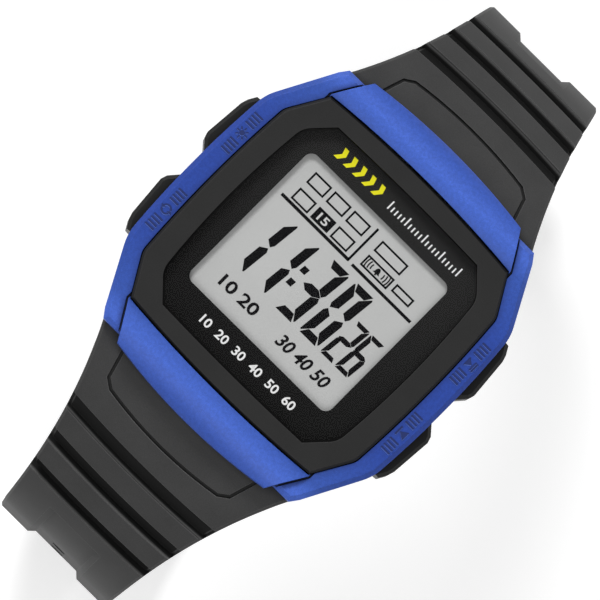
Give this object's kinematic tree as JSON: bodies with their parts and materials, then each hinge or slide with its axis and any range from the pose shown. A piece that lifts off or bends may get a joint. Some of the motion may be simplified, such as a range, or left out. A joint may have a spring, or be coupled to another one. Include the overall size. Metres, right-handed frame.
{
  "type": "digital wrist watch",
  "caption": "Digital watch with a blue bezel on a black resin case, square display, side push buttons and a ribbed resin strap with buckle and keepers.",
  "frame": {"origin": "on the surface that the watch stands on, under the middle of the case", "axes": "+Z out of the dial, +Y towards 12 o'clock, +X towards 3 o'clock"},
  "size_m": [0.0444, 0.0848, 0.065],
  "materials": {
    "case_resin": "moulded black resin, fine grain",
    "bezel_blue": "metallic blue lacquer on plastic",
    "strap_resin": "soft black resin, fine grain",
    "crystal_clear": "clear acrylic crystal, polished",
    "mask_print": "black printed mask",
    "lcd_film": "grey polarising film",
    "lcd_cell": "display glass",
    "light_guide": "milky light panel",
    "module_plastic": "natural moulded plastic",
    "silicone": "silicone seal",
    "zebra": "layered contact rubber",
    "board_green": "green circuit board",
    "chip_black": "black potting resin",
    "steel": "brushed stainless steel",
    "spring_steel": "bright spring wire and sheet",
    "brass_disc": "brass disc with ceramic face",
    "buckle_steel": "black coated steel"
  },
  "bodies": {
    "head": {"back_gasket": "silicone", "back_screws": "steel", "backlight_panel": "light_guide", "battery_frame": "module_plastic", "bezel": "bezel_blue", "button_seals": "silicone", "button_spring_lower_left": "spring_steel", "button_spring_lower_right": "spring_steel", "button_spring_upper_left": "spring_steel", "button_spring_upper_right": "spring_steel", "buzzer_disc": "brass_disc", "buzzer_spring": "spring_steel", "case_back": "steel", "case_body": "case_resin", "cell_contact": "spring_steel", "circuit_board": "board_green", "coin_cell": "steel", "contact_plate": "spring_steel", "controller_chip": "chip_black", "crystal": "crystal_clear", "dial_mask": "mask_print", "lcd_front_polariser": "lcd_film", "lcd_glass": "lcd_cell", "lcd_reflector": "lcd_film", "module_frame": "module_plastic", "quartz_crystal": "steel", "spring_bar_12": "steel", "spring_bar_6": "steel", "zebra_strips": "zebra"},
    "strap_12": {"strap_12": "strap_resin", "buckle_bar": "steel", "keeper_fixed": "strap_resin"},
    "strap_6": {"strap_6": "strap_resin"},
    "buckle": {"buckle_frame": "buckle_steel"},
    "tongue": {"buckle_tongue": "buckle_steel"},
    "keeper": {"keeper_free": "strap_resin"},
    "button_upper_right": {"button_upper_right": "case_resin", "button_clip_upper_right": "spring_steel"},
    "button_upper_left": {"button_upper_left": "case_resin", "button_clip_upper_left": "spring_steel"},
    "button_lower_right": {"button_lower_right": "case_resin", "button_clip_lower_right": "spring_steel"},
    "button_lower_left": {"button_lower_left": "case_resin", "button_clip_lower_left": "spring_steel"}
  },
  "joints": [
    {"name": "strap_12_hinge", "type": "hinge", "parent": "head", "child": "strap_12", "pos_m": [0, 0.0205, 0.05748], "axis": [1, 0, 0], "range_deg": [0, 18]},
    {"name": "strap_6_hinge", "type": "hinge", "parent": "head", "child": "strap_6", "pos_m": [0, -0.0205, 0.05748], "axis": [-1, 0, 0], "range_deg": [0, 18]},
    {"name": "buckle_hinge", "type": "hinge", "parent": "strap_12", "child": "buckle", "pos_m": [0, 0.02004, 0.0019], "axis": [-1, 0, 0], "range_deg": [-25, 60]},
    {"name": "tongue_hinge", "type": "hinge", "parent": "buckle", "child": "tongue", "pos_m": [0, 0.02004, 0.0019], "axis": [-1, 0, 0], "range_deg": [0, 50]},
    {"name": "keeper_slide", "type": "hinge", "parent": "strap_12", "child": "keeper", "pos_m": [0, 0.00642, 0.03381], "axis": [1, 0, 0], "range_deg": [0, 16]},
    {"name": "button_upper_right_press", "type": "slide", "parent": "head", "child": "button_upper_right", "axis": [-1, 0, 0], "range_m": [0, 0.0006], "stiffness_N_per_m": 2500, "springref_m": -0.0004, "deforming": ["button_spring_upper_right"]},
    {"name": "button_upper_left_press", "type": "slide", "parent": "head", "child": "button_upper_left", "axis": [1, 0, 0], "range_m": [0, 0.0006], "stiffness_N_per_m": 2500, "springref_m": -0.0004, "deforming": ["button_spring_upper_left"]},
    {"name": "button_lower_right_press", "type": "slide", "parent": "head", "child": "button_lower_right", "axis": [-1, 0, 0], "range_m": [0, 0.0006], "stiffness_N_per_m": 2500, "springref_m": -0.0004, "deforming": ["button_spring_lower_right"]},
    {"name": "button_lower_left_press", "type": "slide", "parent": "head", "child": "button_lower_left", "axis": [1, 0, 0], "range_m": [0, 0.0006], "stiffness_N_per_m": 2500, "springref_m": -0.0004, "deforming": ["button_spring_lower_left"]}
  ]
}
